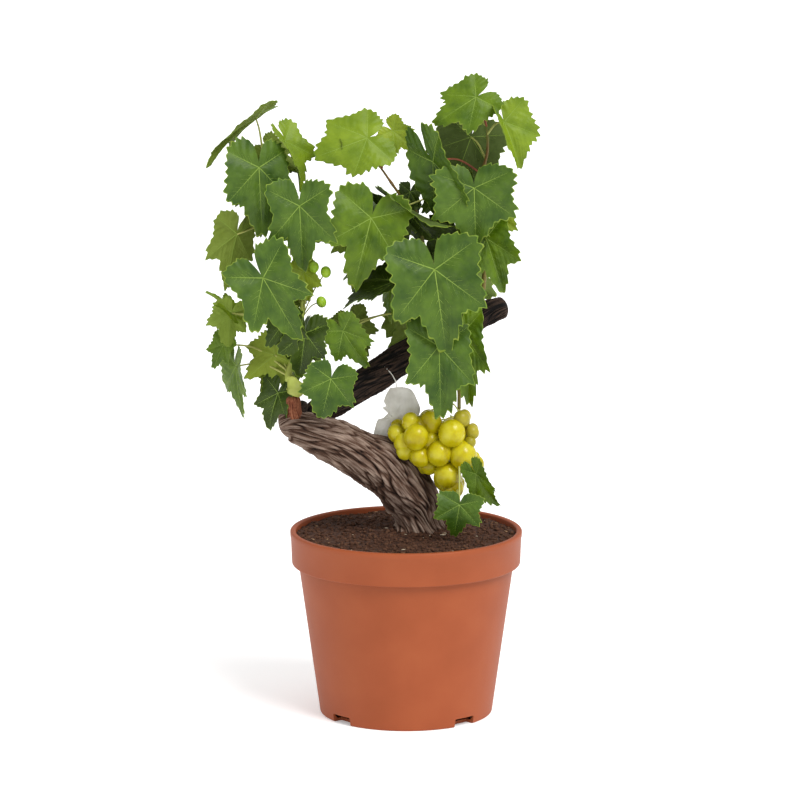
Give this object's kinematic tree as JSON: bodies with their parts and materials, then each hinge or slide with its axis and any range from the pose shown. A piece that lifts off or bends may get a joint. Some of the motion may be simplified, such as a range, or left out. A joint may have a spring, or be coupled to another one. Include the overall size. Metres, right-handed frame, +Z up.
{
  "type": "potted grapevine",
  "caption": "Small old grapevine with a leaning trunk, one long arm, leafy canes and a bunch of green grapes, growing in a round plastic pot of potting soil.",
  "frame": {"origin": "middle of the pot's flat underside", "axes": "+Z up the plant, +X towards the side of the bunch of grapes, -Y towards the side the leaves face"},
  "size_m": [0.3243, 0.2216, 0.6062],
  "materials": {
    "terracotta_plastic": "satin",
    "potting_soil": "matte",
    "vine_bark": "matte",
    "young_wood": "matte",
    "green_cane": "satin",
    "vine_leaf": "satin",
    "grape_skin": "satin"
  },
  "bodies": {
    "root": {"pot": "terracotta_plastic", "soil": "potting_soil", "trunk": "vine_bark", "arm": "vine_bark", "spur": "young_wood", "left_cane": "green_cane", "middle_cane": "green_cane", "right_cane": "green_cane", "bunch_stalk": "green_cane", "left_top_leaves": "vine_leaf", "left_upper_leaves": "vine_leaf", "left_lower_leaves": "vine_leaf", "left_bottom_leaves": "vine_leaf", "left_tip_leaves": "vine_leaf", "middle_top_leaves": "vine_leaf", "middle_leaves": "vine_leaf", "middle_low_leaves": "vine_leaf", "spur_leaves": "vine_leaf", "right_top_leaves": "vine_leaf", "right_upper_leaves": "vine_leaf", "front_leaves": "vine_leaf", "bunch_leaves": "vine_leaf", "low_leaves": "vine_leaf", "back_leaves": "vine_leaf", "grape_bunch": "grape_skin"}
  },
  "joints": []
}
